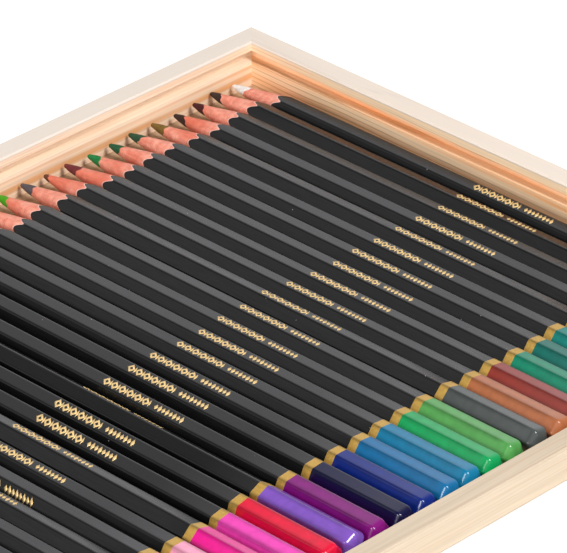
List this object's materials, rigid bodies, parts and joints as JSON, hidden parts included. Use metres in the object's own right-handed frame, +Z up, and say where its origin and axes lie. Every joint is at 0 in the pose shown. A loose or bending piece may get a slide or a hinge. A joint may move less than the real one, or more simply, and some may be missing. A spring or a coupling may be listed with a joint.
{
  "type": "sliding-lid pencil box",
  "caption": "Shallow open pine box with grooved high walls and a low front wall, holding one row of hexagonal colouring pencils that lift out.",
  "frame": {"origin": "middle of the underside", "axes": "+X along the row of pencils, towards the slack; +Y along each pencil towards its point and the high back wall; +Z up"},
  "size_m": [0.295, 0.194, 0.0155],
  "materials": {
    "pine": "bare, planed",
    "floor_board": "bare, sanded",
    "lacquered_cedar": "satin black lacquer"
  },
  "bodies": {
    "box": {"back_wall": "pine", "right_wall": "pine", "left_wall": "pine", "front_wall": "pine", "floor_panel": "floor_board"},
    "pencil_01": {"pencil_01": "lacquered_cedar"},
    "pencil_02": {"pencil_02": "lacquered_cedar"},
    "pencil_03": {"pencil_03": "lacquered_cedar"},
    "pencil_04": {"pencil_04": "lacquered_cedar"},
    "pencil_05": {"pencil_05": "lacquered_cedar"},
    "pencil_06": {"pencil_06": "lacquered_cedar"},
    "pencil_07": {"pencil_07": "lacquered_cedar"},
    "pencil_08": {"pencil_08": "lacquered_cedar"},
    "pencil_09": {"pencil_09": "lacquered_cedar"},
    "pencil_10": {"pencil_10": "lacquered_cedar"},
    "pencil_11": {"pencil_11": "lacquered_cedar"},
    "pencil_12": {"pencil_12": "lacquered_cedar"},
    "pencil_13": {"pencil_13": "lacquered_cedar"},
    "pencil_14": {"pencil_14": "lacquered_cedar"},
    "pencil_15": {"pencil_15": "lacquered_cedar"},
    "pencil_16": {"pencil_16": "lacquered_cedar"},
    "pencil_17": {"pencil_17": "lacquered_cedar"},
    "pencil_18": {"pencil_18": "lacquered_cedar"},
    "pencil_19": {"pencil_19": "lacquered_cedar"},
    "pencil_20": {"pencil_20": "lacquered_cedar"},
    "pencil_21": {"pencil_21": "lacquered_cedar"},
    "pencil_22": {"pencil_22": "lacquered_cedar"},
    "pencil_23": {"pencil_23": "lacquered_cedar"},
    "pencil_24": {"pencil_24": "lacquered_cedar"},
    "pencil_25": {"pencil_25": "lacquered_cedar"},
    "pencil_26": {"pencil_26": "lacquered_cedar"},
    "pencil_27": {"pencil_27": "lacquered_cedar"},
    "pencil_28": {"pencil_28": "lacquered_cedar"},
    "pencil_29": {"pencil_29": "lacquered_cedar"},
    "pencil_30": {"pencil_30": "lacquered_cedar"},
    "pencil_31": {"pencil_31": "lacquered_cedar"},
    "pencil_32": {"pencil_32": "lacquered_cedar"},
    "pencil_33": {"pencil_33": "lacquered_cedar"},
    "pencil_34": {"pencil_34": "lacquered_cedar"},
    "pencil_35": {"pencil_35": "lacquered_cedar"},
    "pencil_36": {"pencil_36": "lacquered_cedar"}
  },
  "joints": [
    {"name": "pencil_01_lift", "type": "slide", "parent": "box", "child": "pencil_01", "axis": [0, 0, 1], "range_m": [0, 0.025]},
    {"name": "pencil_02_lift", "type": "slide", "parent": "box", "child": "pencil_02", "axis": [0, 0, 1], "range_m": [0, 0.025]},
    {"name": "pencil_03_lift", "type": "slide", "parent": "box", "child": "pencil_03", "axis": [0, 0, 1], "range_m": [0, 0.025]},
    {"name": "pencil_04_lift", "type": "slide", "parent": "box", "child": "pencil_04", "axis": [0, 0, 1], "range_m": [0, 0.025]},
    {"name": "pencil_05_lift", "type": "slide", "parent": "box", "child": "pencil_05", "axis": [0, 0, 1], "range_m": [0, 0.025]},
    {"name": "pencil_06_lift", "type": "slide", "parent": "box", "child": "pencil_06", "axis": [0, 0, 1], "range_m": [0, 0.025]},
    {"name": "pencil_07_lift", "type": "slide", "parent": "box", "child": "pencil_07", "axis": [0, 0, 1], "range_m": [0, 0.025]},
    {"name": "pencil_08_lift", "type": "slide", "parent": "box", "child": "pencil_08", "axis": [0, 0, 1], "range_m": [0, 0.025]},
    {"name": "pencil_09_lift", "type": "slide", "parent": "box", "child": "pencil_09", "axis": [0, 0, 1], "range_m": [0, 0.025]},
    {"name": "pencil_10_lift", "type": "slide", "parent": "box", "child": "pencil_10", "axis": [0, 0, 1], "range_m": [0, 0.025]},
    {"name": "pencil_11_lift", "type": "slide", "parent": "box", "child": "pencil_11", "axis": [0, 0, 1], "range_m": [0, 0.025]},
    {"name": "pencil_12_lift", "type": "slide", "parent": "box", "child": "pencil_12", "axis": [0, 0, 1], "range_m": [0, 0.025]},
    {"name": "pencil_13_lift", "type": "slide", "parent": "box", "child": "pencil_13", "axis": [0, 0, 1], "range_m": [0, 0.025]},
    {"name": "pencil_14_lift", "type": "slide", "parent": "box", "child": "pencil_14", "axis": [0, 0, 1], "range_m": [0, 0.025]},
    {"name": "pencil_15_lift", "type": "slide", "parent": "box", "child": "pencil_15", "axis": [0, 0, 1], "range_m": [0, 0.025]},
    {"name": "pencil_16_lift", "type": "slide", "parent": "box", "child": "pencil_16", "axis": [0, 0, 1], "range_m": [0, 0.025]},
    {"name": "pencil_17_lift", "type": "slide", "parent": "box", "child": "pencil_17", "axis": [0, 0, 1], "range_m": [0, 0.025]},
    {"name": "pencil_18_lift", "type": "slide", "parent": "box", "child": "pencil_18", "axis": [0, 0, 1], "range_m": [0, 0.025]},
    {"name": "pencil_19_lift", "type": "slide", "parent": "box", "child": "pencil_19", "axis": [0, 0, 1], "range_m": [0, 0.025]},
    {"name": "pencil_20_lift", "type": "slide", "parent": "box", "child": "pencil_20", "axis": [0, 0, 1], "range_m": [0, 0.025]},
    {"name": "pencil_21_lift", "type": "slide", "parent": "box", "child": "pencil_21", "axis": [0, 0, 1], "range_m": [0, 0.025]},
    {"name": "pencil_22_lift", "type": "slide", "parent": "box", "child": "pencil_22", "axis": [0, 0, 1], "range_m": [0, 0.025]},
    {"name": "pencil_23_lift", "type": "slide", "parent": "box", "child": "pencil_23", "axis": [0, 0, 1], "range_m": [0, 0.025]},
    {"name": "pencil_24_lift", "type": "slide", "parent": "box", "child": "pencil_24", "axis": [0, 0, 1], "range_m": [0, 0.025]},
    {"name": "pencil_25_lift", "type": "slide", "parent": "box", "child": "pencil_25", "axis": [0, 0, 1], "range_m": [0, 0.025]},
    {"name": "pencil_26_lift", "type": "slide", "parent": "box", "child": "pencil_26", "axis": [0, 0, 1], "range_m": [0, 0.025]},
    {"name": "pencil_27_lift", "type": "slide", "parent": "box", "child": "pencil_27", "axis": [0, 0, 1], "range_m": [0, 0.025]},
    {"name": "pencil_28_lift", "type": "slide", "parent": "box", "child": "pencil_28", "axis": [0, 0, 1], "range_m": [0, 0.025]},
    {"name": "pencil_29_lift", "type": "slide", "parent": "box", "child": "pencil_29", "axis": [0, 0, 1], "range_m": [0, 0.025]},
    {"name": "pencil_30_lift", "type": "slide", "parent": "box", "child": "pencil_30", "axis": [0, 0, 1], "range_m": [0, 0.025]},
    {"name": "pencil_31_lift", "type": "slide", "parent": "box", "child": "pencil_31", "axis": [0, 0, 1], "range_m": [0, 0.025]},
    {"name": "pencil_32_lift", "type": "slide", "parent": "box", "child": "pencil_32", "axis": [0, 0, 1], "range_m": [0, 0.025]},
    {"name": "pencil_33_lift", "type": "slide", "parent": "box", "child": "pencil_33", "axis": [0, 0, 1], "range_m": [0, 0.025]},
    {"name": "pencil_34_lift", "type": "slide", "parent": "box", "child": "pencil_34", "axis": [0, 0, 1], "range_m": [0, 0.025]},
    {"name": "pencil_35_lift", "type": "slide", "parent": "box", "child": "pencil_35", "axis": [0, 0, 1], "range_m": [0, 0.025]},
    {"name": "pencil_36_lift", "type": "slide", "parent": "box", "child": "pencil_36", "axis": [0, 0, 1], "range_m": [0, 0.025]}
  ]
}
